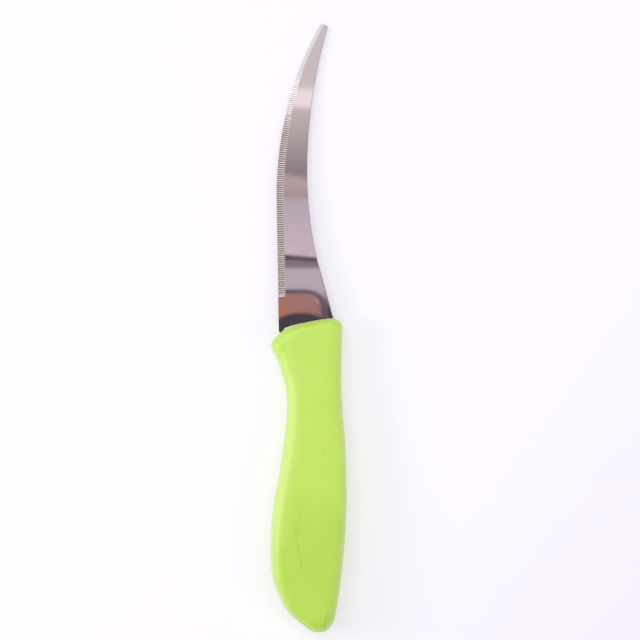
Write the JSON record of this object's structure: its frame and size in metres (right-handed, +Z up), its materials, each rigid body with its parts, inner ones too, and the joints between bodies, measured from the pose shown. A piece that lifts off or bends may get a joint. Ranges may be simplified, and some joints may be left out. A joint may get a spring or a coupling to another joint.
{
  "type": "serrated utility knife",
  "caption": "Slim serrated kitchen utility knife: curved steel blade with a fine one-sided serrated bevel and blunt tip, in a contoured lime green soft-grip handle.",
  "frame": {"origin": "bottom centre of the knife's bounding box as it lies on its side on a flat surface, resting on the blade's tip and the fullest part of the handle", "axes": "+Y towards the blade's tip, +X from the cutting edge to the spine, +Z up from the surface; the blade's ground face looks up and slopes down to the tip"},
  "size_m": [0.0288, 0.2312, 0.0184],
  "materials": {
    "blade_steel": "mirror-polished stainless steel with a ground, serrated bevel",
    "core_plastic": "natural moulded polypropylene",
    "grip_rubber": "satin lime green thermoplastic elastomer"
  },
  "bodies": {
    "root": {"blade": "blade_steel", "handle_core": "core_plastic", "handle_grip": "grip_rubber"}
  },
  "joints": []
}
